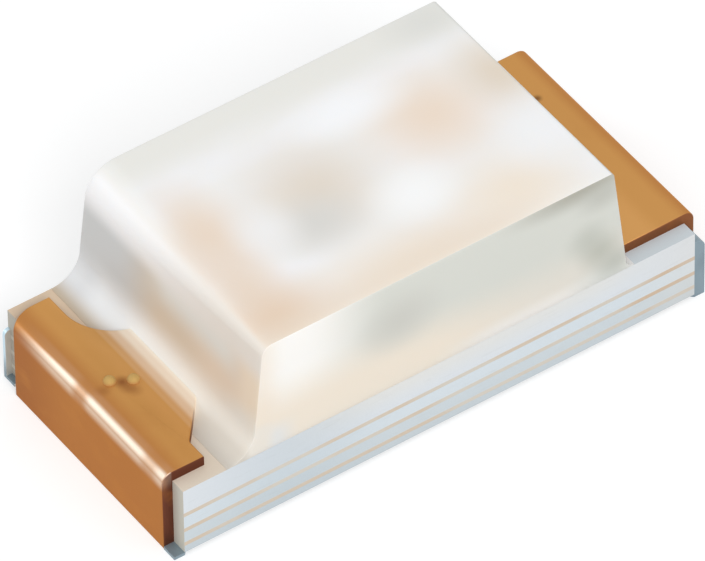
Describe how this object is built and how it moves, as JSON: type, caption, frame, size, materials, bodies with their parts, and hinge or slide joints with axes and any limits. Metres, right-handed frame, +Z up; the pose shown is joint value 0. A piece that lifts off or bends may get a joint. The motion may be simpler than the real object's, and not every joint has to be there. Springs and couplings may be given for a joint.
{
  "type": "smd led",
  "caption": "Surface-mount chip LED: a laminated board with folded copper terminals, tinned solder pads and a milky moulded lens over the chip.",
  "frame": {"origin": "middle of the underside, on the plane of the solder pads", "axes": "+X along the board from the cathode end to the anode end, +Y across it, +Z up through the lens"},
  "size_m": [0.0034, 0.0016, 0.0012],
  "materials": {
    "board_ply": "pale glass cloth in resin, sawn edge",
    "bond_resin": "tan resin line",
    "copper_foil": "smooth copper foil, satin, brown at its cut sides",
    "dot_metal": "yellowish raised metal dots",
    "tinned_metal": "blue-grey tin plating",
    "solder_mask": "pale satin lacquer",
    "arrow_ink": "printed green ink",
    "silver_paste": "dull silver paste",
    "chip_base": "sawn crystal",
    "chip_layer": "polished crystal layer",
    "gold": "polished gold",
    "lens_resin": "milky moulded epoxy, satin gloss"
  },
  "bodies": {
    "root": {"board_ply_1": "board_ply", "bond_line_1": "bond_resin", "board_ply_2": "board_ply", "bond_line_2": "bond_resin", "board_ply_3": "board_ply", "bond_line_3": "bond_resin", "board_ply_4": "board_ply", "cathode_terminal": "copper_foil", "anode_terminal": "copper_foil", "polarity_dots": "dot_metal", "cathode_solder_pad": "tinned_metal", "anode_solder_pad": "tinned_metal", "solder_mask": "solder_mask", "polarity_arrow": "arrow_ink", "chip_paste": "silver_paste", "chip_base": "chip_base", "chip_light_layer": "chip_layer", "chip_contact": "gold", "bond_wire": "gold", "lens": "lens_resin"}
  },
  "joints": []
}
